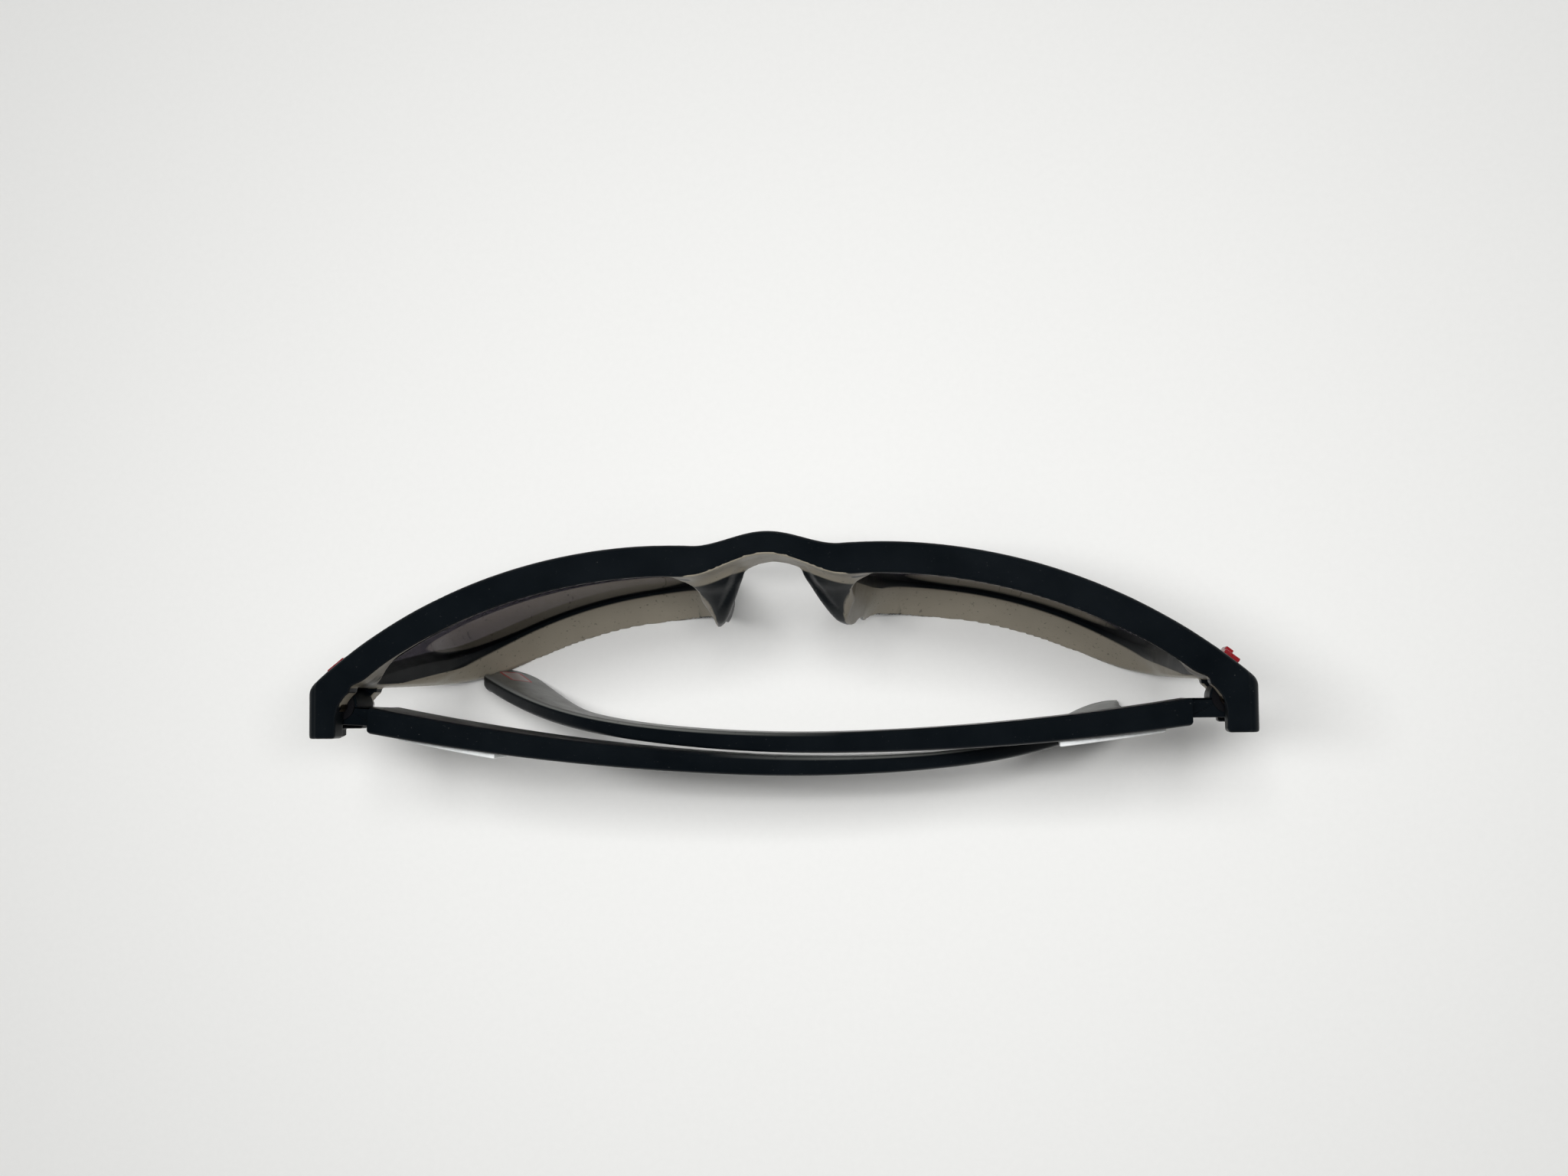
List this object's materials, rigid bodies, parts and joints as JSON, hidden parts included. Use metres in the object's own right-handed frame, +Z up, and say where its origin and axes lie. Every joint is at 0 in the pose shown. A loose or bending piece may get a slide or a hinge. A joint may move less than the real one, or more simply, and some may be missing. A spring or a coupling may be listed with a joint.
{
  "type": "sunglasses",
  "caption": "Full-rim sunglasses with a flat straight brow, squared smoke lenses, deep raked rims, built-in nose pads and wide arms folded behind the front.",
  "frame": {"origin": "middle of the object's box on the surface that it stands on, with the arms folded", "axes": "+X towards the wearer's left, along the front; +Y backwards from the lenses towards the wearer's face; +Z up, from the lower rims to the brow"},
  "size_m": [0.138, 0.0359, 0.047],
  "materials": {
    "frame_plastic": "satin black moulded nylon",
    "temple_plastic": "satin black moulded nylon",
    "smoke_lens": "grey smoke polycarbonate, polished",
    "screw_steel": "plain turned steel",
    "insert_brass": "plain turned brass",
    "washer_nylon": "plain nylon",
    "badge_metal": "pale satin plate",
    "stud_enamel": "dark red enamel"
  },
  "bodies": {
    "front": {"front_frame": "frame_plastic", "lens_left": "smoke_lens", "lens_right": "smoke_lens", "hinge_screw_left": "screw_steel", "hinge_screw_right": "screw_steel", "screw_insert_left": "insert_brass", "screw_insert_right": "insert_brass", "hinge_washers_left": "washer_nylon", "hinge_washers_right": "washer_nylon", "corner_stud_left": "stud_enamel", "corner_stud_right": "stud_enamel"},
    "arm_left": {"temple_left": "temple_plastic", "badge_left": "badge_metal"},
    "arm_right": {"temple_right": "temple_plastic", "badge_right": "badge_metal"}
  },
  "joints": [
    {"name": "arm_left_fold", "type": "hinge", "parent": "front", "child": "arm_left", "pos_m": [0.06505, 0.00665, 0.03845], "axis": [0, 0, -1], "range_deg": [0, 86.9]},
    {"name": "arm_right_fold", "type": "hinge", "parent": "front", "child": "arm_right", "pos_m": [-0.06505, 0.00665, 0.03845], "axis": [0, 0, 1], "range_deg": [0, 90]}
  ]
}
